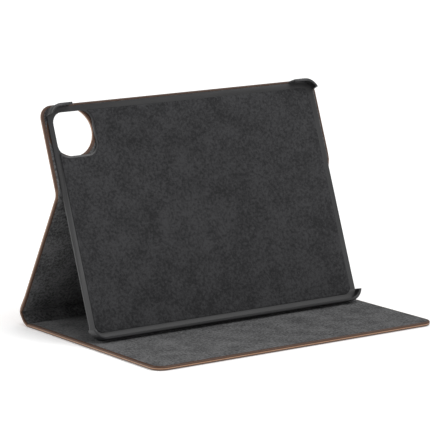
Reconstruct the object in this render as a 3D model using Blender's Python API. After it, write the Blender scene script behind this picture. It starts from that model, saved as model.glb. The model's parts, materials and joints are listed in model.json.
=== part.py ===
"""Folio case for an 11 inch tablet, standing as an easel.

The front cover lies on the table. At its rear edge a narrow spine, a stiff flap and a short
rear panel follow, joined by leather hinges. A moulded tray that clips round the tablet's
corners is bonded to the rear panel, and its lower edge stands on the front cover.

Origin: centre of the front cover's underside. +X runs along the spine, +Y towards the spine,
+Z up. Units are metres. Each panel is modelled flat in the frame of its own hinge: X along
the hinge, Y away from it across the panel, Z towards the panel's inner, lined side. Z = 0 is
the middle of the leather, which is where a leather hinge bends.
"""
from collections import namedtuple
from math import asin, cos, pi, radians, sin

import bpy
import bmesh
from mathutils import Vector

MM = 0.001

# The tablet that the tray holds
TABLET_WIDTH = 247.6 * MM
TABLET_HEIGHT = 178.5 * MM
TABLET_THICKNESS = 5.9 * MM
TABLET_CORNER = 10.5 * MM
CAMERA_INSET = 21.5 * MM           # camera centre from the tablet's top and left edges

# Layers of every panel, from the outside in
LEATHER = 0.9 * MM
GLUE = 0.15 * MM                   # bond line between two layers
BOARD = 1.4 * MM
LINING = 0.6 * MM
PANEL = LEATHER + GLUE + BOARD + GLUE + LINING

# Outline of the cover
SIDE_MARGIN = 3.5 * MM             # cover beyond the tablet's sides
TOP_MARGIN = 0.5 * MM              # cover beyond the tray's top edge
CREASE_BELOW_TOP = 67.9 * MM       # crease to the tray's top edge
COVER_CORNER = 10.0 * MM
EDGE_ROUND = 1.2 * MM              # outer rounding of the wrapped edges
TURN_IN = 1.8 * MM                 # leather margin folded over onto the inner side

# Thin spine, which has a flexible stiffener in place of a board
SPINE_STIFFENER = 0.4 * MM
SPINE_LINING = 0.4 * MM

# Hinges
LEATHER_SPLIT = 0.5 * MM           # leather stops this far from its hinge axis
HINGE_ROOM = 3.0 * MM              # boards and linings stop this far from it
SPINE_ROOM = 2.6 * MM              # the same for the thinner spine
CLOSING_ROOM = 0.2 * MM            # play round the tray when the case is closed

# The standing case. Angles are measured from +Y towards +Z.
SPINE_LEAN = radians(41.0)
TRAY_LEAN = radians(70.0)
REST_GAP = 0.3 * MM                # tray's lowest edge above the front lining

# Tray
TRAY_PLATE = 1.3 * MM
TRAY_WALL = 1.4 * MM
TRAY_ROUND = 1.0 * MM
TRAY_TO_PANEL = 0.25 * MM          # bond line between tray and rear lining
TABLET_PLAY = 0.1 * MM
PAD = 0.4 * MM
PAD_INSET = 5.0 * MM               # pad edge inside the tablet's outline
PAD_CORNER = 6.0 * MM
PAD_CAMERA_ROOM = 1.5 * MM         # pad clear of the camera opening
BARE_EDGE_INSET = 0.4 * MM         # plate between the clips, inside the tablet's outline
LIP_HEIGHT = 0.8 * MM              # clip above the glass
LIP_REACH = 0.8 * MM               # clip over the glass
CLIP_ALONG_TOP = 21.0 * MM         # clip length along the top edge
CLIP_DOWN_SIDE = 7.0 * MM          # upper clips, down the sides
CLIP_UP_SIDE = 8.0 * MM            # lower clips, up the sides
CLIP_SLOPE = 1.5 * MM              # slope at the clips' ends

# Camera opening
CAMERA_OPENING = 34.0 * MM
CAMERA_CORNER = 9.0 * MM

# Steel strip under the pad, which the stand magnets hold
KEEPER_INSET = 29.0 * MM           # strip end from the tablet's side
KEEPER_WIDTH = 8.0 * MM
KEEPER_THICKNESS = 0.5 * MM
KEEPER_UNDER_PAD = 1.5 * MM        # strip's edge inside the pad's lower edge
KEEPER_FIT = 0.2 * MM

# Magnets in the front board
MAGNET_THICKNESS = 1.1 * MM
MAGNET_FIT = 0.3 * MM
CLOSING_MAGNETS = 4
CLOSING_MAGNET = (14.0 * MM, 5.0 * MM)
CLOSING_FROM_SIDE = 29.0 * MM      # outermost centre from the cover's side
CLOSING_FROM_EDGE = 9.0 * MM       # centre from the free edge
STAND_MAGNETS = 5
STAND_MAGNET = (20.0 * MM, 5.0 * MM)
STAND_FROM_SIDE = 39.0 * MM
WAKE_MAGNET_RADIUS = 3.5 * MM
WAKE_FROM_SIDE = 15.0 * MM
WAKE_FROM_EDGE = 46.0 * MM

# Mesh fineness
CORNER_STEPS = 10
EDGE_STEPS = 2
DISC_SIDES = 32
SHARP_ANGLE = radians(40.0)
CUT = 5.0 * MM                     # how far cutters run past what they cut
WINDOW_REACH = 8.0 * MM            # the same where the tray's wall is curved
BITE = 0.2 * MM                    # overlap of two solids that are joined
LEVEL_SNAP = 0.0001 * MM           # faces meant to be level are made exactly level

# Heights above the bending line, which is the middle of the leather
INNER_FACE = PANEL - LEATHER / 2
SPINE_PANEL = LEATHER + GLUE + SPINE_STIFFENER + GLUE + SPINE_LINING
SPINE_INNER_FACE = SPINE_PANEL - LEATHER / 2
BOARD_BACK = LEATHER / 2 + GLUE
MAGNET_BACK = BOARD_BACK + (BOARD - MAGNET_THICKNESS) / 2
PLATE_BACK = INNER_FACE + TRAY_TO_PANEL
PLATE_FRONT = PLATE_BACK + TRAY_PLATE
PAD_BACK = PLATE_FRONT + GLUE
TABLET_BACK = PAD_BACK + PAD + TABLET_PLAY
GLASS = TABLET_BACK + TABLET_THICKNESS
LIP_UNDERSIDE = GLASS + TABLET_PLAY
TRAY_FRONT = LIP_UNDERSIDE + LIP_HEIGHT

# Lengths across the panels. Closed, the front lies on the glass, the spine stands against the
# tray's lower edge, and the front and rear covers end together.
COVER_WIDTH = TABLET_WIDTH + 2 * SIDE_MARGIN
TRAY_SPREAD = TABLET_PLAY + TRAY_WALL
TRAY_BELOW_CREASE = TABLET_HEIGHT + 2 * TRAY_SPREAD - CREASE_BELOW_TOP
SPINE_LENGTH = GLASS + INNER_FACE + CLOSING_ROOM
FLAP_LENGTH = TRAY_BELOW_CREASE + SPINE_INNER_FACE + CLOSING_ROOM
REAR_LENGTH = CREASE_BELOW_TOP + TOP_MARGIN
FRONT_LENGTH = FLAP_LENGTH + REAR_LENGTH

# In the rear panel's frame, whose Y = 0 is the crease
TABLET_LOW = TRAY_SPREAD - TRAY_BELOW_CREASE
TABLET_TOP = TABLET_LOW + TABLET_HEIGHT
CAMERA_X = CAMERA_INSET - TABLET_WIDTH / 2
CAMERA_Y = TABLET_TOP - CAMERA_INSET

# The flap leans so that the tray's rounded lower back edge stands REST_GAP above the lining.
FOOT_HEIGHT = PANEL + REST_GAP - LEATHER / 2
CREASE_HEIGHT = (FOOT_HEIGHT + TRAY_ROUND + (TRAY_BELOW_CREASE - TRAY_ROUND) * sin(TRAY_LEAN)
                 - (PLATE_BACK + TRAY_ROUND) * cos(TRAY_LEAN))
FLAP_LEAN = pi - asin((CREASE_HEIGHT - SPINE_LENGTH * sin(SPINE_LEAN)) / FLAP_LENGTH)
SPINE_HINGE_Y = FRONT_LENGTH / 2
TRAY_FOOT_Y = (SPINE_HINGE_Y + SPINE_LENGTH * cos(SPINE_LEAN) + FLAP_LENGTH * cos(FLAP_LEAN)
               - TRAY_BELOW_CREASE * cos(TRAY_LEAN) - PLATE_BACK * sin(TRAY_LEAN))


def clear_scene():
    for thing in list(bpy.data.objects):
        bpy.data.objects.remove(thing, do_unlink=True)


def new_collection(name):
    group = bpy.data.collections.new(name)
    bpy.context.scene.collection.children.link(group)
    return group


def principled(name, colour, roughness, metallic=0.0):
    material = bpy.data.materials.new(name)
    material.use_nodes = True
    material.diffuse_color = (*colour, 1.0)
    shader = material.node_tree.nodes["Principled BSDF"]
    shader.inputs["Base Color"].default_value = (*colour, 1.0)
    shader.inputs["Roughness"].default_value = roughness
    shader.inputs["Metallic"].default_value = metallic
    return material


def put_in(thing, group):
    for owner in list(thing.users_collection):
        owner.objects.unlink(thing)
    group.objects.link(thing)


def arc(centre, radius, start):
    """Points of a quarter circle that begins at the angle start."""
    steps = [start + pi / 2 * i / CORNER_STEPS for i in range(CORNER_STEPS + 1)]
    return [(centre[0] + radius * cos(a), centre[1] + radius * sin(a)) for a in steps]


def rounded_outline(half_width, low, high, low_radius, high_radius):
    """Outline across X, from Y = low to high, with its two ends' corners rounded."""
    points = []
    for x_sign, y_end, radius, start in (
            (-1, low, low_radius, pi), (1, low, low_radius, 1.5 * pi),
            (1, high, high_radius, 0.0), (-1, high, high_radius, 0.5 * pi)):
        y_sign = 1 if y_end == low else -1
        if radius > 0:
            centre = (x_sign * (half_width - radius), y_end + y_sign * radius)
            points.extend(arc(centre, radius, start))
        else:
            points.append((x_sign * half_width, y_end))
    return points


def slab(name, outline, bottom, top, edge_round=0.0):
    """A flat solid: the outline raised from Z = bottom to top, its edges rounded."""
    curve = bpy.data.curves.new(name, "CURVE")
    curve.dimensions = "2D"
    curve.fill_mode = "BOTH"
    curve.extrude = (top - bottom) / 2 - edge_round
    curve.bevel_depth = edge_round
    curve.bevel_resolution = EDGE_STEPS
    curve.offset = -edge_round
    spline = curve.splines.new("POLY")
    spline.points.add(len(outline) - 1)
    for point, (x, y) in zip(spline.points, outline):
        point.co = (x, y, 0.0, 1.0)
    spline.use_cyclic_u = True
    guide = bpy.data.objects.new(name, curve)
    bpy.context.scene.collection.objects.link(guide)
    bpy.context.view_layer.update()
    evaluated = guide.evaluated_get(bpy.context.evaluated_depsgraph_get())
    mesh = bpy.data.meshes.new_from_object(evaluated)
    shape = bmesh.new()
    shape.from_mesh(mesh)
    bmesh.ops.remove_doubles(shape, verts=shape.verts, dist=1e-6)
    bmesh.ops.translate(shape, verts=shape.verts, vec=(0.0, 0.0, (bottom + top) / 2))
    for vert in shape.verts:
        for level in (bottom, top):
            if abs(vert.co.z - level) < LEVEL_SNAP:
                vert.co.z = level
    bmesh.ops.recalc_face_normals(shape, faces=shape.faces)
    shape.to_mesh(mesh)
    shape.free()
    mesh.name = name
    bpy.data.objects.remove(guide, do_unlink=True)
    bpy.data.curves.remove(curve)
    mesh.shade_smooth()
    mesh.set_sharp_from_angle(angle=SHARP_ANGLE)
    solid = bpy.data.objects.new(name, mesh)
    bpy.context.scene.collection.objects.link(solid)
    return solid


def box(name, low, high):
    """A box between two corners."""
    bpy.ops.mesh.primitive_cube_add(size=1.0)
    solid = bpy.context.object
    solid.name = name
    for vert in solid.data.vertices:
        vert.co = [b if c > 0 else a for a, b, c in zip(low, high, vert.co)]
    return solid


def disc(name, radius, bottom, top, centre):
    bpy.ops.mesh.primitive_cylinder_add(
        vertices=DISC_SIDES, radius=radius, depth=top - bottom,
        location=(centre[0], centre[1], (bottom + top) / 2))
    solid = bpy.context.object
    solid.name = name
    solid.data.shade_smooth()
    solid.data.set_sharp_from_angle(angle=SHARP_ANGLE)
    return solid


Layers = namedtuple("Layers", "inner_face board lining room")
STIFF = Layers(INNER_FACE, BOARD, LINING, HINGE_ROOM)
SLIM = Layers(SPINE_INNER_FACE, SPINE_STIFFENER, SPINE_LINING, SPINE_ROOM)


class Case:
    """Builds every solid flat at the origin, then hangs it on its hinge frame."""

    def __init__(self):
        self.parts = new_collection("tablet_case")
        self.guides = new_collection("hinge_frames")
        self.members = []

    def frame(self, name, parent, location, angle):
        empty = bpy.data.objects.new(name, None)
        empty.empty_display_size = 0.02
        self.guides.objects.link(empty)
        empty.parent = parent
        empty.location = location
        empty.rotation_euler = (angle, 0.0, 0.0)
        return empty

    def part(self, solid, parent, material):
        put_in(solid, self.parts)
        solid.data.materials.clear()
        solid.data.materials.append(material)
        self.members.append((solid, parent))
        return solid

    def assemble(self):
        for solid, parent in self.members:
            solid.parent = parent


def boolean(solid, tool, operation="DIFFERENCE"):
    """Cut or join two solids that lie flat at the origin. The tool is used up."""
    modifier = solid.modifiers.new(operation.lower(), "BOOLEAN")
    modifier.operation = operation
    modifier.object = tool
    modifier.solver = "EXACT"
    bpy.context.view_layer.update()
    evaluated = solid.evaluated_get(bpy.context.evaluated_depsgraph_get())
    solid.data = bpy.data.meshes.new_from_object(evaluated)
    solid.modifiers.clear()
    bpy.data.objects.remove(tool, do_unlink=True)


def cut_box(solid, low, high):
    boolean(solid, box("cutter", low, high))


def cut_slab(solid, outline, bottom, top):
    boolean(solid, slab("cutter", outline, bottom, top))


def camera_outline(spread):
    """The camera opening, widened by spread on every side."""
    reach = CAMERA_OPENING / 2 + spread
    outline = rounded_outline(reach, -reach, reach, CAMERA_CORNER + spread, CAMERA_CORNER + spread)
    return [(x + CAMERA_X, y + CAMERA_Y) for x, y in outline]


def panel_leather(case, name, parent, material, length, layers, free_end):
    """Leather wrapped round a panel: outer face, side edges and the margins turned in.

    The hinge at Y = 0 and, unless the far end is free, the one at Y = length keep clear.
    """
    half = COVER_WIDTH / 2
    wide = half + CUT
    corner = COVER_CORNER if free_end else 0.0
    edge_round = min(EDGE_ROUND, 0.45 * (layers.inner_face + LEATHER / 2))
    outline = rounded_outline(half, -CUT, length if free_end else length + CUT, 0.0, corner)
    skin = slab(name, outline, -LEATHER / 2, layers.inner_face, edge_round)
    case.part(skin, parent, material)

    beyond = length + 2 * CUT
    pocket = rounded_outline(half - LEATHER, -2 * CUT, length - LEATHER if free_end else beyond,
                             0.0, max(corner - LEATHER, 0.0))
    cut_slab(skin, pocket, LEATHER / 2, layers.inner_face - layers.lining)
    window = rounded_outline(half - TURN_IN, -2 * CUT, length - TURN_IN if free_end else beyond,
                             0.0, max(corner - TURN_IN, 0.0))
    cut_slab(skin, window, LEATHER, layers.inner_face + CUT)

    cut_box(skin, (-wide, -2 * CUT, LEATHER / 2), (wide, layers.room, CUT))
    cut_box(skin, (-wide, -2 * CUT, -CUT), (wide, LEATHER_SPLIT, CUT))
    if not free_end:
        cut_box(skin, (-wide, length - layers.room, LEATHER / 2), (wide, beyond, CUT))
        cut_box(skin, (-wide, length - LEATHER_SPLIT, -CUT), (wide, beyond, CUT))
    return skin


def panel_board(case, name, parent, material, length, layers, free_end):
    """The stiff layer inside the leather."""
    inset = LEATHER + GLUE
    corner = max(COVER_CORNER - inset, 0.0) if free_end else 0.0
    end = length - inset if free_end else length - layers.room
    outline = rounded_outline(COVER_WIDTH / 2 - inset, layers.room, end, 0.0, corner)
    board = slab(name, outline, BOARD_BACK, BOARD_BACK + layers.board)
    return case.part(board, parent, material)


def panel_lining(case, name, parent, material, length, layers, free_end):
    """The cloth that fills the frame of turned-in leather."""
    inset = TURN_IN + GLUE
    corner = max(COVER_CORNER - inset, 0.0) if free_end else 0.0
    end = length - inset if free_end else length - layers.room
    outline = rounded_outline(COVER_WIDTH / 2 - inset, layers.room, end, 0.0, corner)
    lining = slab(name, outline, layers.inner_face - layers.lining, layers.inner_face)
    return case.part(lining, parent, material)


def make_panel(case, side, parent, length, materials, free_end):
    """Leather, board and lining of one full-thickness panel."""
    leather = panel_leather(
        case, f"{side}_leather", parent, materials["leather"], length, STIFF, free_end)
    board = panel_board(
        case, f"{side}_board", parent, materials["board"], length, STIFF, free_end)
    lining = panel_lining(
        case, f"{side}_lining", parent, materials["lining"], length, STIFF, free_end)
    return leather, board, lining


def make_spine(case, parent, materials):
    """The same three layers, thinner, with a stiffener in place of the board."""
    panel_leather(
        case, "spine_leather", parent, materials["leather"], SPINE_LENGTH, SLIM, False)
    panel_board(
        case, "spine_stiffener", parent, materials["board"], SPINE_LENGTH, SLIM, False)
    panel_lining(
        case, "spine_lining", parent, materials["lining"], SPINE_LENGTH, SLIM, False)


def spaced(count, from_side):
    """Places along X, the outermost ones from_side inside the cover's sides."""
    reach = COVER_WIDTH / 2 - from_side
    return [-reach + 2 * reach * i / (count - 1) for i in range(count)]


def bar_magnet(case, name, parent, material, board, size, centre):
    """A bar magnet in its slot through the board."""
    slot = [width / 2 + MAGNET_FIT for width in size]
    cut_box(board, (centre[0] - slot[0], centre[1] - slot[1], -CUT),
            (centre[0] + slot[0], centre[1] + slot[1], CUT))
    low = (centre[0] - size[0] / 2, centre[1] - size[1] / 2, MAGNET_BACK)
    high = (centre[0] + size[0] / 2, centre[1] + size[1] / 2, MAGNET_BACK + MAGNET_THICKNESS)
    case.part(box(name, low, high), parent, material)


def make_magnets(case, parent, board, material):
    """Magnets of the front cover, whose frame has Y = 0 at the spine hinge."""
    closing_y = FRONT_LENGTH - CLOSING_FROM_EDGE
    for number, x in enumerate(spaced(CLOSING_MAGNETS, CLOSING_FROM_SIDE), start=1):
        bar_magnet(case, f"closing_magnet_{number}", parent, material, board, CLOSING_MAGNET,
                   (x, closing_y))
    stand_y = SPINE_HINGE_Y - TRAY_FOOT_Y
    for number, x in enumerate(spaced(STAND_MAGNETS, STAND_FROM_SIDE), start=1):
        bar_magnet(case, f"stand_magnet_{number}", parent, material, board, STAND_MAGNET,
                   (x, stand_y))
    centre = (COVER_WIDTH / 2 - WAKE_FROM_SIDE, FRONT_LENGTH - WAKE_FROM_EDGE)
    boolean(board, disc("cutter", WAKE_MAGNET_RADIUS + MAGNET_FIT, -CUT, CUT, centre))
    wake = disc("wake_magnet", WAKE_MAGNET_RADIUS, MAGNET_BACK, MAGNET_BACK + MAGNET_THICKNESS,
                centre)
    case.part(wake, parent, material)


def cut_camera(leather, board, lining):
    """Camera opening of the rear panel, its edge wrapped in leather."""
    collar = slab("camera_collar", camera_outline(LEATHER), LEATHER / 2 - BITE, INNER_FACE)
    boolean(leather, collar, "UNION")
    cut_slab(leather, camera_outline(0.0), -CUT, CUT)
    cut_slab(board, camera_outline(LEATHER + GLUE), -CUT, CUT)
    cut_slab(lining, camera_outline(LEATHER + GLUE), -CUT, CUT)


def tablet_outline(spread):
    """The tablet's outline in the rear panel's frame, widened by spread."""
    return rounded_outline(TABLET_WIDTH / 2 + spread, TABLET_LOW - spread, TABLET_TOP + spread,
                           TABLET_CORNER + spread, TABLET_CORNER + spread)


def clip_gap(half):
    """A cutter along Y, open upwards, with sloping ends: the gap between two clips."""
    rise = TRAY_FRONT + CUT - PLATE_FRONT
    section = [(-half, 0.0), (half, 0.0), (half + CLIP_SLOPE, rise), (-half - CLIP_SLOPE, rise)]
    cutter = slab("cutter", section, -WINDOW_REACH, WINDOW_REACH)
    cutter.rotation_euler = (pi / 2, 0.0, 0.0)
    cutter.location.z = PLATE_FRONT
    return cutter


def open_edge(tray, half, middle, angle):
    """Clear one edge of the tray between its clips, down to a bare edge of the plate.

    middle is the middle of the tablet's edge, and angle turns the gap to run along it.
    """
    gap = clip_gap(half)
    gap.rotation_euler.z = angle
    gap.location.xy = middle
    boolean(tray, gap)

    outward = Vector((-sin(angle), cos(angle)))
    along = Vector((cos(angle), sin(angle)))
    inner = Vector(middle) - outward * BARE_EDGE_INSET
    corners = [inner - along * half, inner + along * half,
               inner + along * half + outward * WINDOW_REACH,
               inner - along * half + outward * WINDOW_REACH]
    cut_slab(tray, [tuple(corner) for corner in corners], PLATE_BACK - CUT, PLATE_FRONT + BITE)


def make_tray(case, parent, material):
    """Moulded tray: back plate, four corner clips and a wall along the lower edge."""
    tray = slab("tray_shell", tablet_outline(TRAY_SPREAD), PLATE_BACK, TRAY_FRONT, TRAY_ROUND)
    case.part(tray, parent, material)
    cut_slab(tray, tablet_outline(TABLET_PLAY), PLATE_FRONT, LIP_UNDERSIDE)
    cut_slab(tray, tablet_outline(-LIP_REACH), GLASS, TRAY_FRONT + CUT)

    open_edge(tray, TABLET_WIDTH / 2 - CLIP_ALONG_TOP, (0.0, TABLET_TOP), 0.0)
    side_half = (TABLET_HEIGHT - CLIP_DOWN_SIDE - CLIP_UP_SIDE) / 2
    side_middle = TABLET_LOW + CLIP_UP_SIDE + side_half
    open_edge(tray, side_half, (-TABLET_WIDTH / 2, side_middle), pi / 2)
    open_edge(tray, side_half, (TABLET_WIDTH / 2, side_middle), -pi / 2)
    cut_slab(tray, camera_outline(0.0), -CUT, PLATE_FRONT + CUT)
    return tray


def make_pad(case, parent, material):
    """Soft pad that the tablet's back lies on."""
    outline = rounded_outline(TABLET_WIDTH / 2 - PAD_INSET, TABLET_LOW + PAD_INSET,
                              TABLET_TOP - PAD_INSET, PAD_CORNER, PAD_CORNER)
    pad = slab("tray_pad", outline, PAD_BACK, PAD_BACK + PAD)
    case.part(pad, parent, material)
    cut_slab(pad, camera_outline(PAD_CAMERA_ROOM), -CUT, PAD_BACK + PAD + CUT)


def make_keeper(case, parent, tray, material):
    """Steel strip let into the plate under the pad."""
    middle = TABLET_LOW + PAD_INSET + KEEPER_UNDER_PAD + KEEPER_WIDTH / 2
    half = TABLET_WIDTH / 2 - KEEPER_INSET
    front = PLATE_FRONT - GLUE / 2
    back = front - KEEPER_THICKNESS
    cut_box(tray, (-half - KEEPER_FIT, middle - KEEPER_WIDTH / 2 - KEEPER_FIT, back - GLUE),
            (half + KEEPER_FIT, middle + KEEPER_WIDTH / 2 + KEEPER_FIT, PLATE_FRONT + GLUE))
    strip = box("keeper_strip", (-half, middle - KEEPER_WIDTH / 2, back),
                (half, middle + KEEPER_WIDTH / 2, front))
    case.part(strip, parent, material)


def make_materials():
    return {
        "leather": principled("tan_leather", (0.27, 0.12, 0.055), 0.5),
        "board": principled("grey_board", (0.25, 0.23, 0.2), 0.8),
        "lining": principled("charcoal_microfibre", (0.05, 0.05, 0.053), 0.95),
        "tray": principled("black_polycarbonate", (0.02, 0.02, 0.022), 0.45),
        "pad": principled("black_microfibre", (0.03, 0.03, 0.032), 0.95),
        "magnet": principled("nickel_plated_magnet", (0.6, 0.58, 0.54), 0.3, 1.0),
        "steel": principled("spring_steel", (0.5, 0.5, 0.5), 0.35, 1.0),
    }


def main():
    clear_scene()
    case = Case()
    materials = make_materials()

    # The front panel runs from the spine hinge towards -Y, so its frame is turned about Z.
    hinge_1 = (0.0, SPINE_HINGE_Y, LEATHER / 2)
    front = case.frame("front_cover_frame", None, hinge_1, 0.0)
    front.rotation_euler.z = pi
    spine = case.frame("spine_hinge", None, hinge_1, SPINE_LEAN)
    flap = case.frame("flap_hinge", spine, (0.0, SPINE_LENGTH, 0.0), FLAP_LEAN - SPINE_LEAN)
    rear = case.frame("crease_hinge", flap, (0.0, FLAP_LENGTH, 0.0), TRAY_LEAN - FLAP_LEAN)

    front_board = make_panel(case, "front", front, FRONT_LENGTH, materials, True)[1]
    make_magnets(case, front, front_board, materials["magnet"])
    make_spine(case, spine, materials)
    make_panel(case, "flap", flap, FLAP_LENGTH, materials, False)
    rear_layers = make_panel(case, "rear", rear, REAR_LENGTH, materials, True)
    cut_camera(*rear_layers)
    tray = make_tray(case, rear, materials["tray"])
    make_pad(case, rear, materials["pad"])
    make_keeper(case, rear, tray, materials["steel"])
    case.assemble()
    bpy.context.view_layer.update()


main()
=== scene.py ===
"""Looks of the leather folio case: leather, lining, pad, moulded tray, studio and camera.

The case is drawn as it was cut, flat, and then bent along its three hinges. On the flat
cut, x runs across the case, s runs along it from the front cover's free edge to the top of
the rear cover, and h is the height above the middle of the leather, towards the lining.
"""
import json
from collections import namedtuple
from math import atan2, ceil, cos, pi, radians, sin, tan

import bmesh
import bpy
from mathutils import Matrix, Vector, noise


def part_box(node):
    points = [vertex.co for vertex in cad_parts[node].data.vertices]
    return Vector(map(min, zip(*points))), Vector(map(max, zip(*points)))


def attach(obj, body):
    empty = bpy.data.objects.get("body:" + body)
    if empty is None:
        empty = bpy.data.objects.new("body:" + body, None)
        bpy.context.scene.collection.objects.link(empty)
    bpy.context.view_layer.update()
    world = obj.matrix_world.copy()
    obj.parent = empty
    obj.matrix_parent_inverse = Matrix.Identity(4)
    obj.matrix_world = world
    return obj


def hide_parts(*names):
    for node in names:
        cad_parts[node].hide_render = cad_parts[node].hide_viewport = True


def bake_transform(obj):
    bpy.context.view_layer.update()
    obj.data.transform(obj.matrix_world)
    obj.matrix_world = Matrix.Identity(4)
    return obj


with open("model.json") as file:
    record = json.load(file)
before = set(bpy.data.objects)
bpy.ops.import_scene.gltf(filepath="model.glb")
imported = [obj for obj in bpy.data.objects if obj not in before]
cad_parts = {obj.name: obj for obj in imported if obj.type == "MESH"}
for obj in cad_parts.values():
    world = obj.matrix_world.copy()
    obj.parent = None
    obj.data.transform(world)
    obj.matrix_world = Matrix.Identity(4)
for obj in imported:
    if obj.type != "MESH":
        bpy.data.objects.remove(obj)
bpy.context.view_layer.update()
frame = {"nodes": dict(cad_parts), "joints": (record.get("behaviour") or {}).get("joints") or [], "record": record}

MM = 0.001

# Bends. Each radius is that of the leather's middle; reach is where a bend has died out.
BEND_RADIUS = {"cover_hinge": 5.0 * MM, "flap_hinge": 3.6 * MM, "crease_hinge": 3.0 * MM}
BEND_REACH = 5.5 * MM
SPINE_BOW = 1.1 * MM               # the soft spine bulges outwards between its bends,
BOW_SKEW = 0.75                    # most of all on the front cover's side,
FLAP_BOW = 0.8 * MM                # and so does the foot of the flap,
FLAP_BOW_LENGTH = 16.0 * MM
FLAP_BOW_INSIDE = 0.2              # though less on its inner side
GROOVE = 1.0 * MM                  # height of the inner side where a hinge is pressed flat
SHOULDER = 0.5 * MM                # the inner side is this much lower at a board's edge,
SHOULDER_LENGTH = 5.0 * MM         # and has its full height this far from there

# Cut edges
CORNER = 10.0 * MM                 # corner radius at the two free ends
EDGE_ROUND = 1.2 * MM
ROUND_SHARE = 0.42                 # of the thickness, where a panel is too thin for EDGE_ROUND
TURN_IN = 1.8 * MM                 # visible width of the leather folded over the edge
LEATHER = 0.5 * MM                 # drawn thickness of the leather
LINING = 0.35 * MM
LINING_RISE = 0.06 * MM            # the nap stands this far above the folded leather
UNEVEN = 0.05 * MM                 # waviness of the leather's outer face
UNEVEN_SCALE = 28.0                # noise cells per metre
UNEVEN_WRAP = 4.0                  # the waviness is full where wrap is below minus this

# Mesh fineness
FLAT_STEP = 5.0 * MM
BEND_STEP = 0.6 * MM
ROUND_STEPS = 5
CORNER_STEPS = 8
SHARP = radians(42.0)
MERGE = 1e-6                       # metres: points nearer than this are one point

# Camera opening
CAMERA_SIDES = 64
OPENING_SEARCH = 1.5               # the search reaches this many half-widths of the record's box
ON_LINE = 0.01 * MM                # points this near a line are taken to lie on it
COLLAR = 2.0 * MM                  # width of the leather ring round the opening
COLLAR_ROUND = 0.8 * MM


# ---------------------------------------------------------------- the case's own measures

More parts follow.
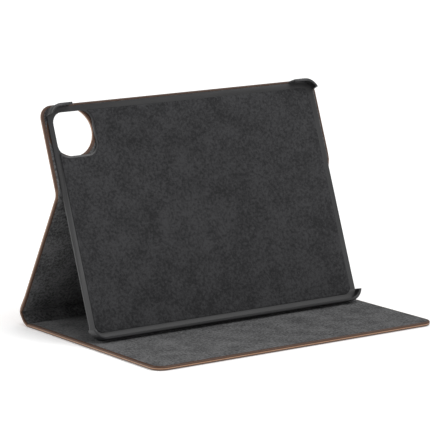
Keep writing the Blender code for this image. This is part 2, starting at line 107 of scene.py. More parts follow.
class Layout:
    """Hinges, leans and lengths of the case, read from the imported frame."""

    def __init__(self):
        joints = {joint["name"]: Vector(joint["pos_m"]) for joint in frame["joints"]}
        seat = next(m for m in frame["record"]["mounts"] if m["name"] == "tablet_seat")
        first, second, third = (joints[name] for name in BEND_RADIUS)
        self.points = [first, first, second, third]
        self.leans = [0.0, lean_between(first, second), lean_between(second, third),
                      atan2(-seat["axis"][1], seat["axis"][2])]
        self.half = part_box("front_leather")[1].x
        self.front = first.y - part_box("front_leather")[0].y
        self.spine = (second - first).length
        self.flap = (third - second).length
        self.rear = self.extent("rear_leather", 3)[1].y
        self.starts = [0.0, self.front, self.front + self.spine,
                       self.front + self.spine + self.flap]
        self.end = self.starts[3] + self.rear
        self.hinges = self.starts[1:]
        self.bottom = self.extent("flap_leather", 2)[0].z
        self.stiff_top = self.extent("flap_lining", 2)[1].z
        self.spine_top = self.extent("spine_lining", 1)[1].z
        self.room = -self.extent("front_board", 0)[1].y
        self.mid_spine = self.hinges[0] + self.spine / 2
        self.mid_flap = self.hinges[1] + self.flap / 2
        self.opening = self.find_opening()

    def axes(self, panel):
        """Unit vectors along a panel, away from its hinge, and out of its inner side."""
        lean = self.leans[panel]
        return Vector((0.0, cos(lean), sin(lean))), Vector((0.0, -sin(lean), cos(lean)))

    def local(self, panel, point):
        """A point in a panel's own frame: x, distance past its hinge, height."""
        along, out = self.axes(panel)
        arm = point - self.points[panel]
        return Vector((point.x, arm.dot(along), arm.dot(out)))

    def extent(self, node, panel):
        """Lowest and highest corner of a CAD node in a panel's own frame."""
        places = [self.local(panel, v.co) for v in frame["nodes"][node].data.vertices]
        return (Vector(min(p[i] for p in places) for i in range(3)),
                Vector(max(p[i] for p in places) for i in range(3)))

    def find_opening(self):
        """Camera opening as (low corner, high corner, corner radius), corners as (x, s).

        It is measured on the tray's mesh, near the box that the record gives for it.
        """
        openings = frame["record"]["physics"]["openings"]
        box = next(o["box_m"] for o in openings if o["name"] == "camera_opening")
        low, high = Vector(box[0]), Vector(box[1])
        middle = self.local(3, (low + high) / 2)
        shape = [self.local(3, v.co) for v in frame["nodes"]["tray_shell"].data.vertices]
        reach = OPENING_SEARCH * (high.x - low.x) / 2
        near = [p for p in shape if abs(p.x - middle.x) < reach and abs(p.y - middle.y) < reach]
        left, right = min(p.x for p in near), max(p.x for p in near)
        bottom, top = min(p.y for p in near), max(p.y for p in near)
        on_left = [p.y for p in near if abs(p.x - left) < ON_LINE]
        corner = (top - bottom - (max(on_left) - min(on_left))) / 2
        start = self.starts[3]
        return Vector((left, start + bottom)), Vector((right, start + top)), corner

    def bend(self, s):
        """(point, lean) of the bending line at s, with each hinge rounded."""
        for index, name in enumerate(BEND_RADIUS):
            before, after = self.leans[index], self.leans[index + 1]
            turn = after - before
            radius = BEND_RADIUS[name]
            tangent = radius * tan(abs(turn) / 2)
            offset = s - self.hinges[index]
            if abs(offset) < tangent:
                share = (offset + tangent) / (2 * tangent)
                side = 1 if turn > 0 else -1
                hinge = self.points[index + 1]
                along, out = self.axes(index)
                centre = hinge - along * tangent + out * side * radius
                lean = before + share * turn
                normal = Vector((0.0, -sin(lean), cos(lean)))
                return centre - normal * side * radius, lean
        panel = sum(s >= hinge for hinge in self.hinges)
        if panel == 0:
            return self.points[0] + Vector((0.0, s - self.front, 0.0)), 0.0
        along, _ = self.axes(panel)
        return self.points[panel] + along * (s - self.starts[panel]), self.leans[panel]

    def bow(self, s, h):
        """How far the standing case bulges outwards at a point of the flat cut."""
        share = (s - self.hinges[0]) / self.spine
        if 0.0 < share < 1.0:
            return SPINE_BOW * sin(pi * share ** BOW_SKEW) ** 2
        share = (s - self.hinges[1]) / FLAP_BOW_LENGTH
        if 0.0 < share < 1.0:
            depth = smooth((h - self.bottom) / (self.stiff_top - self.bottom))
            amount = FLAP_BOW * (1.0 + (FLAP_BOW_INSIDE - 1.0) * depth)
            return amount * sin(pi * share ** BOW_SKEW) ** 2
        return 0.0

    def place(self, x, s, h):
        """World place of a point of the flat cut."""
        point, lean = self.bend(s)
        h -= self.bow(s, h)
        return Vector((x, point.y - h * sin(lean), point.z + h * cos(lean)))

    def top(self, s):
        """Height of the inner side at s: full over the boards, pressed down at a hinge."""
        nearest = min(abs(s - hinge) for hinge in self.hinges)
        level = self.spine_top
        if not self.hinges[0] < s < self.hinges[1]:
            level = self.stiff_top - SHOULDER * (1 - smooth((nearest - self.room) / SHOULDER_LENGTH))
        return GROOVE + (level - GROOVE) * smooth(nearest / self.room)


def lean_between(low, high):
    return atan2(high.z - low.z, high.y - low.y)


def smooth(value):
    value = max(0.0, min(1.0, value))
    return value * value * (3 - 2 * value)


def steps(low, high, step):
    """Evenly spaced values from low to high, about one step apart."""
    count = max(1, ceil((high - low) / step - 1e-9))
    return [low + (high - low) * i / count for i in range(count + 1)]


# ---------------------------------------------------------------- sheets of leather and cloth

# A sheet's rings run from its cut edge inwards. These are the leather's folded-in edge, as
# (inset beyond TURN_IN, height above the inner side, wrap), and its insets on the outer face.
FOLDED_RINGS = ((0.10 * MM, -0.50 * MM, 2.7), (0.0, -0.10 * MM, 2.6), (-0.12 * MM, 0.0, 2.5))
OUTER_INSETS = (2.2 * MM, 3.6 * MM, 6.5 * MM, CORNER)
LEATHER_RINGS = len(FOLDED_RINGS) + (ROUND_STEPS + 1) + 1 + (ROUND_STEPS + 1) + len(OUTER_INSETS)

# The lining's rings, as (inset, height above the inner side, wrap).
LINING_RINGS = ((TURN_IN + 0.04 * MM, -0.32 * MM, 0.0), (TURN_IN + 0.04 * MM, -0.03 * MM, 0.1),
                (TURN_IN + 0.16 * MM, 0.6 * LINING_RISE, 0.3),
                (TURN_IN + 0.50 * MM, LINING_RISE, 0.7), (3.6 * MM, LINING_RISE, 1.0),
                (6.5 * MM, LINING_RISE, 1.0), (CORNER, LINING_RISE, 1.0))


def leather_ring(case, index, s):
    """(inset, height, wrap) of one ring of the leather, from the folded-in edge outwards.

    wrap is 0 where the outer face begins to round, 1 at the middle of the edge, 2 where the
    rounding ends on the inner side. It goes below 0 over the outer face.
    """
    low, high = case.bottom, case.top(s)
    radius = min(EDGE_ROUND, ROUND_SHARE * (high - low))
    if index < len(FOLDED_RINGS):
        beyond, rise, wrap = FOLDED_RINGS[index]
        return TURN_IN + beyond, high + rise, wrap
    index -= len(FOLDED_RINGS)
    if index <= ROUND_STEPS:
        turn = pi / 2 * (1 - index / ROUND_STEPS)
        return radius * (1 - cos(turn)), high - radius * (1 - sin(turn)), 1.3 + 0.7 * turn / (pi / 2)
    index -= ROUND_STEPS + 1
    if index == 0:
        return 0.0, (low + high) / 2, 1.0
    index -= 1
    if index <= ROUND_STEPS:
        turn = pi / 2 * index / ROUND_STEPS
        return radius * (1 - cos(turn)), low + radius * (1 - sin(turn)), 0.7 * (1 - turn / (pi / 2))
    index -= ROUND_STEPS + 1
    inset = OUTER_INSETS[index]
    return inset, low, -(inset - radius) / MM


def lining_ring(case, index, s):
    """(inset, height, wrap) of one ring of the lining, from its cut edge inwards."""
    inset, rise, wrap = LINING_RINGS[index]
    return inset, case.top(s) + rise, wrap


Layer = namedtuple("Layer", "ring count thickness outwards")
OUTER_LAYER = Layer(leather_ring, LEATHER_RINGS, LEATHER, True)
INNER_LAYER = Layer(lining_ring, len(LINING_RINGS), LINING, False)


def stations(case, low, high):
    """Values of s along a sheet, close together where it bends."""
    cuts = [low, high]
    for hinge in case.hinges:
        cuts += [hinge - BEND_REACH, hinge + BEND_REACH]
    cuts = sorted(c for c in cuts if low <= c <= high)
    found = [low]
    for a, b in zip(cuts, cuts[1:]):
        bending = any(abs((a + b) / 2 - hinge) < BEND_REACH for hinge in case.hinges)
        found += steps(a, b, BEND_STEP if bending else FLAT_STEP)[1:]
    return found


def edge_chains(case, low, high, free):
    """The sheet's cut edges as chains of (x sign, x centre, s centre, angle).

    A station lies at its centre plus inset-dependent radius in the direction of its angle,
    so the same stations serve every ring. A free end has rounded corners.
    """
    inner = case.half - CORNER
    first = low + CORNER if free == "low" else low
    last = high - CORNER if free == "high" else high
    along = stations(case, first, last)
    right = [(inner, s, 0.0) for s in along]
    left = [(-inner, s, pi) for s in along]
    if free is None:
        return [right, left], along
    across = steps(-inner, inner, FLAT_STEP)
    turns = [pi / 2 * i / CORNER_STEPS for i in range(CORNER_STEPS + 1)]
    if free == "low":
        chain = left[::-1]
        chain += [(-inner, first, pi + t) for t in turns[1:]]
        chain += [(x, first, 1.5 * pi) for x in across[1:]]
        chain += [(inner, first, 1.5 * pi + t) for t in turns[1:]]
        chain += right[1:]
    else:
        chain = right + [(inner, last, t) for t in turns[1:]]
        chain += [(x, last, 0.5 * pi) for x in reversed(across[:-1])]
        chain += [(-inner, last, 0.5 * pi + t) for t in turns[1:]]
        chain += left[-2::-1]
    return [chain], along


class Sheet:
    """A bmesh whose corners carry the flat cut's place as UV and their wrap as a value."""

    def __init__(self, case):
        self.case = case
        self.shape = bmesh.new()
        self.uv = self.shape.loops.layers.uv.new("cut")
        self.wrap = self.shape.verts.layers.float.new("wrap")
        self.flat = {}

    def point(self, x, s, h, wrap, cut):
        share = min(1.0, max(0.0, -wrap / UNEVEN_WRAP))
        ripple = noise.noise(Vector((x, s, 0.0)) * UNEVEN_SCALE) * UNEVEN * share
        vert = self.shape.verts.new(self.case.place(x, s, h + ripple))
        vert[self.wrap] = wrap
        self.flat[vert] = cut
        return vert

    def face(self, corners):
        if len(set(corners)) < 3:
            return
        face = self.shape.faces.new(corners)
        face.smooth = True
        for loop in face.loops:
            loop[self.uv].uv = self.flat[loop.vert]

    def strip(self, first, second):
        """Quads between two rows of points."""
        for a, b, c, d in zip(first, first[1:], second[1:], second):
            self.face((a, b, c, d))


def wrap_chain(case, sheet, chain, layer):
    """Wrap a sheet round one chain of its cut edge, ring by ring inwards.

    On the flat cut a ring lies as far out from the last one as the sheet between them is long.
    """
    rings = []
    for index in range(layer.count):
        ring = []
        for number, (x, s, angle) in enumerate(chain):
            inset, h, wrap = layer.ring(case, index, s)
            arm = CORNER - inset
            place = (x + arm * cos(angle), s + arm * sin(angle), h)
            reach = 0.0
            if rings:
                before, _, reach = rings[-1][number]
                reach += (Vector(place) - Vector(before)).length
            ring.append((place, wrap, reach))
        rings.append(ring)
    total = [reach for _, _, reach in rings[-1]]
    rows = []
    for ring in rings:
        row = []
        for number, (place, wrap, reach) in enumerate(ring):
            x, s, angle = chain[number]
            spread = total[number] - reach
            cut = (x + spread * cos(angle), s + spread * sin(angle))
            row.append(sheet.point(*place, wrap, cut))
        rows.append(row)
    for first, second in zip(rows, rows[1:]):
        sheet.strip(first, second)


def fill_middle(case, sheet, along, layer):
    """Fill the flat middle of a sheet, inside its last ring."""
    inner = case.half - CORNER
    across = steps(-inner, inner, FLAT_STEP)
    rows = []
    for s in along:
        _, h, wrap = layer.ring(case, layer.count - 1, s)
        rows.append([sheet.point(x, s, h, wrap, (x, s)) for x in across])
    for first, second in zip(rows, rows[1:]):
        sheet.strip(first, second)


def turn_faces(case, shape, s, outwards):
    """Make all faces look outwards, or all look out of the case's inner side."""
    bmesh.ops.recalc_face_normals(shape, faces=shape.faces)
    centre = case.place(0.0, s, 0.0)
    middle = min(shape.faces, key=lambda f: (f.calc_center_median() - centre).length)
    _, lean = case.bend(s)
    inside = Vector((0.0, -sin(lean), cos(lean)))
    if (middle.normal.dot(inside) > 0) == outwards:
        bmesh.ops.reverse_faces(shape, faces=shape.faces)


def make_sheet(case, name, low, high, free, layer, opening):
    """One sheet of the cut from s = low to high, wrapped as its layer says."""
    sheet = Sheet(case)
    chains, along = edge_chains(case, low, high, free)
    for chain in chains:
        wrap_chain(case, sheet, chain, layer)
    fill_middle(case, sheet, along, layer)
    bmesh.ops.remove_doubles(sheet.shape, verts=sheet.shape.verts, dist=MERGE)
    turn_faces(case, sheet.shape, (low + high) / 2, layer.outwards)
    if opening:
        cut_opening(case, sheet.shape, COLLAR)
    piece = link_piece(name, sheet.shape)
    thicken = piece.modifiers.new("thickness", "SOLIDIFY")
    thicken.thickness = layer.thickness
    thicken.offset = -1.0
    settle(piece)
    return piece


def link_piece(name, shape):
    """Make a smooth-shaded object of a bmesh, which is used up."""
    mesh = bpy.data.meshes.new(name)
    shape.to_mesh(mesh)
    shape.free()
    mesh.shade_smooth()
    mesh.set_sharp_from_angle(angle=SHARP)
    piece = bpy.data.objects.new(name, mesh)
    bpy.context.scene.collection.objects.link(piece)
    return piece


def settle(piece):
    """Apply a piece's modifiers and mark its hard edges."""
    bpy.context.view_layer.update()
    evaluated = piece.evaluated_get(bpy.context.evaluated_depsgraph_get())
    mesh = bpy.data.meshes.new_from_object(evaluated)
    old = piece.data
    piece.modifiers.clear()
    piece.data = mesh
    mesh.name = piece.name
    bpy.data.meshes.remove(old)
    piece.data.shade_smooth()
    piece.data.set_sharp_from_angle(angle=SHARP)


def make_stiffener(case, material):
    """The spine's flexible stiffener, which follows the spine's curve."""
    low, high = case.extent("spine_stiffener", 1)
    shape = bmesh.new()
    rings = []
    for along in steps(low.y, high.y, BEND_STEP):
        corners = ((low.x, low.z), (high.x, low.z), (high.x, high.z), (low.x, high.z))
        rings.append([shape.verts.new(case.place(x, case.hinges[0] + along, h))
                      for x, h in corners])
    for first, second in zip(rings, rings[1:]):
        for i in range(4):
            after = (i + 1) % 4
            shape.faces.new((first[i], first[after], second[after], second[i]))
    shape.faces.new(rings[0])
    shape.faces.new(rings[-1])
    bmesh.ops.recalc_face_normals(shape, faces=shape.faces)
    piece = link_piece("stiffener", shape)
    give(piece, material)
    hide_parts("spine_stiffener")
    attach(piece, "spine")


# ---------------------------------------------------------------- camera opening

def opening_outline(case, spread):
    """(x, s) round the camera opening, widened by spread. Its size is the tray's own hole."""
    low, high, corner = case.opening
    low = low - Vector((spread, spread))
    high = high + Vector((spread, spread))
    corner = corner + spread
    centres = ((high.x - corner, high.y - corner, 0.0), (low.x + corner, high.y - corner, 0.5 * pi),
               (low.x + corner, low.y + corner, pi), (high.x - corner, low.y + corner, 1.5 * pi))
    quarter = CAMERA_SIDES // 4
    return [(x + corner * cos(start + pi / 2 * i / (quarter - 1)),
             s + corner * sin(start + pi / 2 * i / (quarter - 1)))
            for x, s, start in centres for i in range(quarter)]


def cut_opening(case, shape, spread):
    """Cut the camera opening through a sheet, one side of its outline after another."""
    outline = [case.place(x, s, 0.0) for x, s in opening_outline(case, spread)]
    _, out = case.axes(3)
    inside = list(shape.faces)
    for start, end in zip(outline, outline[1:] + outline[:1]):
        away = (end - start).cross(out).normalized()
        around = {edge for face in inside for edge in face.edges}
        corners = {vert for face in inside for vert in face.verts}
        cut = bmesh.ops.bisect_plane(shape, geom=inside + list(around) + list(corners),
                                     dist=1e-7, plane_co=start, plane_no=away)
        inside = [face for face in cut["geom"] if isinstance(face, bmesh.types.BMFace)
                  and (face.calc_center_median() - start).dot(away) < 0.0]
    bmesh.ops.delete(shape, geom=inside, context="FACES")


def make_collar(case):
    """Leather folded round the edge of the camera opening."""
    low, high = case.bottom, case.stiff_top
    arc = [pi / 2 * i / ROUND_STEPS for i in range(ROUND_STEPS + 1)]
    profile = [(COLLAR, low, -1.0)]
    profile += [(COLLAR_ROUND * (1 - sin(a)), low + COLLAR_ROUND * (1 - cos(a)), 0.7 * a / (pi / 2))
                for a in arc]
    profile += [(COLLAR_ROUND * (1 - cos(a)), high - COLLAR_ROUND * (1 - sin(a)), 1.3 + a / (pi / 2))
                for a in arc]
    profile += [(COLLAR, high, 2.5), (COLLAR, high - 0.5 * MM, 2.6), (COLLAR, low + 0.5 * MM, 2.7)]
    sheet = Sheet(case)
    rings = []
    for spread, h, wrap in profile:
        outline = opening_outline(case, spread)
        ring = [sheet.point(x, s, h, wrap, (x, s)) for x, s in outline]
        rings.append(ring + ring[:1])
    for a, b in zip(rings, rings[1:] + rings[:1]):
        sheet.strip(a, b)
    bmesh.ops.recalc_face_normals(sheet.shape, faces=sheet.shape.faces)
    return link_piece("camera_collar", sheet.shape)


# ---------------------------------------------------------------- materials

class Material:
    """A Principled material with short calls for its procedural nodes."""

    def __init__(self, name):
        self.material = bpy.data.materials.new(name)
        self.material.use_nodes = True
        self.tree = self.material.node_tree
        self.shader = self.tree.nodes["Principled BSDF"]

    def node(self, kind, **values):
        made = self.tree.nodes.new(kind)
        for key, value in values.items():
            if key in made.inputs:
                made.inputs[key].default_value = value
            else:
                setattr(made, key, value)
        return made

    def link(self, source, target):
        self.tree.links.new(source, target)

    def number(self, operation, first, second):
        made = self.node("ShaderNodeMath", operation=operation)
        for socket, value in zip(made.inputs, (first, second)):
            if isinstance(value, (int, float)):
                socket.default_value = value
            else:
                self.link(value, socket)
        return made.outputs[0]

    def noise(self, place, scale, detail=3.0, roughness=0.55):
        made = self.node("ShaderNodeTexNoise", Scale=scale, Detail=detail, Roughness=roughness)
        self.link(place, made.inputs["Vector"])
        return made.outputs["Fac"]

    def stretched(self, place, scale):
        made = self.node("ShaderNodeMapping")
        made.inputs["Scale"].default_value = scale
        self.link(place, made.inputs["Vector"])
        return made.outputs["Vector"]

    def ramp(self, value, *stops):
        """Colour or grey by value; each stop is (position, colour or grey)."""
        made = self.node("ShaderNodeValToRGB")
        while len(made.color_ramp.elements) < len(stops):
            made.color_ramp.elements.new(0.5)
        for element, (position, colour) in zip(made.color_ramp.elements, stops):
            element.position = position
            grey = isinstance(colour, (int, float))
            element.color = (colour, colour, colour, 1.0) if grey else (*colour, 1.0)
        self.link(value, made.inputs["Fac"])
        return made.outputs["Color"]

    def mix(self, share, first, second, blend="MIX"):
        made = self.node("ShaderNodeMix", data_type="RGBA", blend_type=blend)
        sockets = (made.inputs["Factor"], made.inputs[6], made.inputs[7])
        for socket, value in zip(sockets, (share, first, second)):
            if isinstance(value, tuple):
                socket.default_value = (*value, 1.0)
            elif isinstance(value, (int, float)):
                socket.default_value = value
            else:
                self.link(value, socket)
        return made.outputs[2]

    def bump(self, height, strength, distance, before=None):
        made = self.node("ShaderNodeBump", Strength=strength, Distance=distance)
        self.link(height, made.inputs["Height"])
        if before is not None:
            self.link(before, made.inputs["Normal"])
        return made.outputs["Normal"]

    def finish(self, colour=None, roughness=None, normal=None, **values):
        for key, value in (("Base Color", colour), ("Roughness", roughness), ("Normal", normal)):
            if value is None:
                continue
            socket = self.shader.inputs[key]
            if isinstance(value, (int, float)):
                socket.default_value = value
            elif isinstance(value, tuple):
                socket.default_value = (*value, 1.0)
            else:
                self.link(value, socket)
        for key, value in values.items():
            self.shader.inputs[key.replace("_", " ")].default_value = value
        return self.material


TAN = (0.300, 0.138, 0.060)
# light tan: lighter dye patches, worn folds, and the painted highlight along the edges
TAN_LIGHT = (0.355, 0.218, 0.138)
TAN_DARK = (0.150, 0.060, 0.025)
# dark brown of the painted shade on the edges, under the rounding and along the fold
EDGE_SHADE_BROWN = (0.046, 0.019, 0.009)
LINING_TONES = ((0.030, 0.030, 0.031), (0.122, 0.122, 0.124))
PAD_TONES = ((0.018, 0.018, 0.019), (0.042, 0.042, 0.044))
BOARD_COLOUR = (0.25, 0.23, 0.20)
TRAY_COLOUR = (0.017, 0.017, 0.018)
MAGNET_COLOUR = (0.60, 0.58, 0.54)
STEEL_COLOUR = (0.50, 0.50, 0.50)
WRAP_SPAN = 3.0                    # a ramp's 0 to 1 covers wrap values from 0 to this
WRINKLE_REACH = 6.0 * MM           # wrinkles fade out this far from a hinge


def leather_material(case):
    """Fine-grained tan leather: pebbled grain, a mottled dye, and on the edges a painted highlight with painted
    shade above and below it.
    """
    m = Material("tan_leather")
    cut = m.node("ShaderNodeUVMap", uv_map="cut").outputs["UV"]
    wrap = m.node("ShaderNodeAttribute", attribute_name="wrap").outputs["Fac"]

    cloud = m.noise(cut, 22.0, 4.0)
    fine = m.noise(cut, 420.0, 3.0)
    colour = m.ramp(cloud, (0.30, TAN_DARK), (0.50, TAN), (0.72, TAN_LIGHT))
    colour = m.mix(0.55, colour, TAN)
    colour = m.mix(m.ramp(fine, (0.35, 0.0), (0.7, 0.35)), colour, TAN_DARK)

    # The edge: a painted highlight low on it, broken up by noise, with painted shade below it under the rounding
    # and above it over the top rounding and the fold.
    highlight_breakup = m.ramp(m.noise(cut, 180.0, 2.0), (0.3, 0.55), (0.7, 1.0))
    level = m.number("DIVIDE", wrap, WRAP_SPAN)
    highlight_mask = m.ramp(level, (0.0, 0.0), (0.20, 0.0), (0.25, 1.0), (0.34, 1.0), (0.41, 0.0))
    edge_shade_mask = m.ramp(level, (0.0, 0.0), (0.02, 1.0), (0.20, 1.0), (0.25, 0.0), (0.35, 0.0),
                   (0.41, 1.0))
    # Paint the highlight, then the shade, into the leather's colour.
    colour = m.mix(m.number("MULTIPLY", highlight_mask, highlight_breakup), colour, TAN_LIGHT)
    colour = m.mix(m.number("MULTIPLY", edge_shade_mask, 0.95), colour, EDGE_SHADE_BROWN)

    # Pebbled grain, with pores between the pebbles.
    cells = m.node("ShaderNodeTexVoronoi", feature="DISTANCE_TO_EDGE", Scale=1100.0)
    warp = m.node("ShaderNodeTexNoise", Scale=600.0, Detail=1.0)
    m.link(cut, warp.inputs["Vector"])
    shifted = m.mix(0.0016, cut, warp.outputs["Color"], "ADD")
    m.link(shifted, cells.inputs["Vector"])
    grain = m.ramp(cells.outputs["Distance"], (0.0, 0.0), (0.16, 0.8), (0.5, 1.0))
    normal = m.bump(grain, 0.35, 0.00012)
    normal = m.bump(m.noise(cut, 160.0, 3.0), 0.25, 0.0003, normal)

    # Fine wrinkles where the leather folds.
    split = m.node("ShaderNodeSeparateXYZ")
    m.link(cut, split.inputs[0])
    along = split.outputs["Y"]
    folds = None
    for hinge in case.hinges:
        away = m.number("ABSOLUTE", m.number("SUBTRACT", along, hinge), 0.0)
        near = m.number("SUBTRACT", 1.0, m.number("DIVIDE", away, WRINKLE_REACH))
        near = m.number("MAXIMUM", near, 0.0)
        folds = near if folds is None else m.number("ADD", folds, near)
    wrinkle = m.noise(m.stretched(cut, (0.10, 1.0, 1.0)), 1300.0, 4.0)
    normal = m.bump(m.number("MULTIPLY", wrinkle, folds), 0.6, 0.0005, normal)
    colour = m.mix(m.number("MULTIPLY", folds, 0.25), colour, TAN_LIGHT)

    roughness = m.ramp(m.noise(cut, 60.0, 3.0), (0.3, 0.40), (0.7, 0.55))
    return m.finish(colour, roughness, normal, Coat_Weight=0.06, Coat_Roughness=0.40,
                    Specular_IOR_Level=0.35)


def cloth_material(name, place_kind, dark, light):
    """Short-napped microfibre: mottled where the nap lies differently, and finely speckled."""
    m = Material(name)
    if place_kind == "cut":
        place = m.node("ShaderNodeUVMap", uv_map="cut").outputs["UV"]
    else:
        place = m.node("ShaderNodeTexCoord").outputs["Object"]
    nap = m.noise(place, 55.0, 4.0, 0.6)
    speck = m.noise(place, 480.0, 4.0, 0.75)
    fibre = m.noise(m.stretched(place, (1.0, 0.35, 1.0)), 1500.0, 2.0, 0.6)
    tone = m.number("ADD", m.number("MULTIPLY", nap, 0.3), m.number("MULTIPLY", speck, 0.7))
    colour = m.ramp(tone, (0.42, dark), (0.58, light))
    normal = m.bump(speck, 0.8, 0.0006)
    normal = m.bump(fibre, 0.5, 0.0003, normal)
    return m.finish(colour, 0.95, normal, Sheen_Weight=0.06, Sheen_Roughness=0.5,
                    Specular_IOR_Level=0.10)


def plastic_material(name, colour, roughness, grain_scale, depth):
    """Moulded plastic with a fine spark-eroded texture."""
    m = Material(name)
    place = m.node("ShaderNodeTexCoord").outputs["Object"]
    grain = m.noise(place, grain_scale, 2.0, 0.6)
    cloud = m.noise(place, 30.0, 3.0)
    darker = tuple(c * 0.7 for c in colour)
    tint = m.ramp(cloud, (0.3, darker), (0.7, colour))
    rough = m.ramp(cloud, (0.3, roughness - 0.06), (0.7, roughness + 0.06))
    return m.finish(tint, rough, m.bump(grain, 0.4, depth))


def metal_material(name, colour, roughness):
    """Plain metal with fine grinding marks."""
    m = Material(name)
    place = m.node("ShaderNodeTexCoord").outputs["Object"]
    marks = m.noise(m.stretched(place, (1.0, 12.0, 12.0)), 300.0, 3.0)
    rough = m.ramp(marks, (0.3, roughness - 0.08), (0.7, roughness + 0.08))
    return m.finish(colour, rough, m.bump(marks, 0.2, 0.0001), Metallic=1.0)


# ---------------------------------------------------------------- pieces

def give(piece, material):
    piece.data.materials.clear()
    piece.data.materials.append(material)


def sheet_spans(case):
    """The case's three sheets, each across one hinge: (part, low, high, free end, bodies)."""
    return (("front", 0.0, case.mid_spine, "low", "front_cover", "spine"),
            ("spine", case.mid_spine, case.mid_flap, None, "spine", "flap"),
            ("rear", case.mid_flap, case.end, "high", "flap", "rear_cover"))


def blend_over(case, piece, number):
    """Bake a sheet's placement into its mesh; the sheet already lies bent over its hinge as it was made."""
    along_before, _ = case.axes(number)
    along_after, _ = case.axes(number + 1)
    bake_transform(piece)


def make_cover(case, leather, lining):
    replaced = {"front": ("front_leather",), "spine": ("spine_leather", "flap_leather"),
                "rear": ("rear_leather",)}
    for number, (part, low, high, free, before, after) in enumerate(sheet_spans(case)):
        opening = part == "rear"
        outer = make_sheet(case, f"{part}_skin", low, high, free, OUTER_LAYER, opening)
        inner = make_sheet(case, f"{part}_cloth", low, high, free, INNER_LAYER, opening)
        give(outer, leather)
        give(inner, lining)
        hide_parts(*replaced[part])
        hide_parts(*(node.replace("leather", "lining") for node in replaced[part]))
        blend_over(case, outer, number)
        blend_over(case, inner, number)
    collar = make_collar(case)
    give(collar, leather)
    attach(collar, "rear_cover")


PAD_EDGE = ((0.05 * MM, 0.10 * MM), (0.08 * MM, 0.06 * MM), (0.10 * MM, 0.02 * MM))


def make_pad(case, material):
    """The tray's pad, from its CAD outline, with a rolled edge."""
    shape = bmesh.new()
    shape.from_mesh(frame["nodes"]["tray_pad"].data)
    bmesh.ops.remove_doubles(shape, verts=shape.verts, dist=MERGE)
    bmesh.ops.dissolve_limit(shape, angle_limit=radians(1.0), verts=shape.verts,
                             edges=shape.edges)
    _, out = case.axes(3)
    face = max((f for f in shape.faces if f.normal.dot(out) > 0.9), key=lambda f: f.calc_area())
    drop = sum(rise for _, rise in PAD_EDGE)
    bmesh.ops.translate(shape, verts=face.verts, vec=-out * drop)
    for width, rise in PAD_EDGE:
        bmesh.ops.inset_region(shape, faces=[face], thickness=width, depth=rise,
                               use_even_offset=True, use_boundary=True)
    pad = link_piece("pad", shape)
    give(pad, material)
    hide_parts("tray_pad")
    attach(pad, "rear_cover")


TRAY_EDGE = 0.18 * MM              # rounding of the tray's edges
TRAY_EDGE_ANGLE = radians(50.0)    # edges sharper than this are rounded
TRAY_MERGE = 0.01 * MM             # points nearer than this are joined first


def soften_edges(node):
    """Round a CAD node's edges a little, so that they catch the light."""
    weld = node.modifiers.new("weld", "WELD")
    weld.merge_threshold = TRAY_MERGE
    bevel = node.modifiers.new("bevel", "BEVEL")
    bevel.width = TRAY_EDGE
    bevel.segments = 2
    bevel.limit_method = "ANGLE"
    bevel.angle_limit = TRAY_EDGE_ANGLE
    bevel.harden_normals = True


def finish_nodes(materials):
    """Give every CAD node that stays its material."""
    for name, node in frame["nodes"].items():
        if name == "tray_shell":
            slot = "black_polycarbonate"
        elif "magnet" in name:
            slot = "plated_magnet"
        elif name == "keeper_strip":
            slot = "spring_steel"
        elif name.endswith("board"):
            slot = "stiff_board"
        else:
            continue
        give(node, materials[slot])
    tray = frame["nodes"]["tray_shell"]
    tray.data.shade_smooth()
    soften_edges(tray)


# ---------------------------------------------------------------- studio

CAMERA_PLACE = Vector((-1.1356, -1.6456, 0.4516))
CAMERA_HEADING = radians(34.49)    # from +Y towards +X
CAMERA_PITCH = radians(10.54)      # downwards
CAMERA_ROLL = radians(-0.56)
CAMERA_LENS = 214.4                # mm
CAMERA_SENSOR = 36.0               # mm
FLOOR_DROP = 0.3 * MM
FLOOR_SIZE = 30.0
FLOOR_GLOW = 0.18                  # lit from below a little, as a product table is
SKY_STRENGTH = 0.52
SUN_STRENGTH = 2.1
SUN_SPREAD = radians(50.0)
SUN_DIRECTION = Vector((-0.35, 0.75, -1.3))


def make_camera():
    data = bpy.data.cameras.new("camera")
    data.lens = CAMERA_LENS
    data.sensor_width = CAMERA_SENSOR
    data.clip_start = 0.1
    data.clip_end = 50.0
    camera = bpy.data.objects.new("camera", data)
    forward = Vector((sin(CAMERA_HEADING) * cos(CAMERA_PITCH),
                      cos(CAMERA_HEADING) * cos(CAMERA_PITCH), -sin(CAMERA_PITCH)))
    turn = Matrix.Rotation(CAMERA_ROLL, 3, "Z")
    camera.matrix_world = (Matrix.Translation(CAMERA_PLACE)
                           @ (forward.to_track_quat("-Z", "Y").to_matrix() @ turn).to_4x4())
    bpy.context.scene.collection.objects.link(camera)
    bpy.context.scene.camera = camera


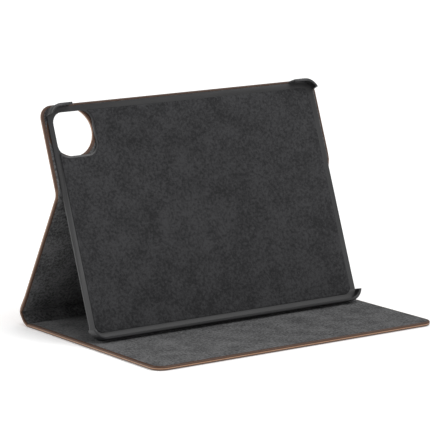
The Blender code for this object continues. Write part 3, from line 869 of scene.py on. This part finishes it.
def make_light(name, place, target, size, power):
    data = bpy.data.lights.new(name, "AREA")
    data.shape = "RECTANGLE"
    data.size, data.size_y = size
    data.energy = power
    light = bpy.data.objects.new(name, data)
    light.location = place
    light.rotation_euler = (Vector(target) - Vector(place)).to_track_quat("-Z", "Y").to_euler()
    bpy.context.scene.collection.objects.link(light)


def make_studio():
    bpy.ops.mesh.primitive_plane_add(size=FLOOR_SIZE, location=(0.0, 0.0, -FLOOR_DROP))
    floor = bpy.context.object
    floor.name = "floor"
    m = Material("pale_floor")
    place = m.node("ShaderNodeTexCoord").outputs["Object"]
    shade = m.ramp(m.noise(place, 3.0, 2.0), (0.3, 0.93), (0.7, 0.95))
    floor.data.materials.append(m.finish(shade, 0.6, Emission_Color=(1.0, 1.0, 1.0, 1.0),
                                         Emission_Strength=FLOOR_GLOW))

    world = bpy.data.worlds.new("studio")
    world.use_nodes = True
    background = world.node_tree.nodes["Background"]
    background.inputs["Color"].default_value = (1.0, 1.0, 1.0, 1.0)
    background.inputs["Strength"].default_value = SKY_STRENGTH
    bpy.context.scene.world = world
    make_light("side", (-1.6, 0.75, 0.6), (0.0, 0.0, 0.08), (1.2, 1.0), 14.0)
    sun = bpy.data.lights.new("key", "SUN")
    sun.energy = SUN_STRENGTH
    sun.angle = SUN_SPREAD
    key = bpy.data.objects.new("key", sun)
    key.rotation_euler = SUN_DIRECTION.to_track_quat("-Z", "Y").to_euler()
    bpy.context.scene.collection.objects.link(key)
    bpy.context.scene.view_settings.view_transform = "Standard"


def main():
    case = Layout()
    leather = leather_material(case)
    lining = cloth_material("charcoal_microfibre", "cut", *LINING_TONES)
    pad = cloth_material("black_microfibre", "object", *PAD_TONES)
    make_cover(case, leather, lining)
    make_pad(case, pad)
    board = plastic_material("stiff_board", BOARD_COLOUR, 0.8, 900.0, 0.0002)
    make_stiffener(case, board)
    finish_nodes({
        "black_polycarbonate": plastic_material(
            "black_polycarbonate", TRAY_COLOUR, 0.45, 2600.0, 0.00008),
        "stiff_board": board,
        "plated_magnet": metal_material("plated_magnet", MAGNET_COLOUR, 0.28),
        "spring_steel": metal_material("spring_steel", STEEL_COLOUR, 0.35),
    })
    make_camera()
    make_studio()


main()
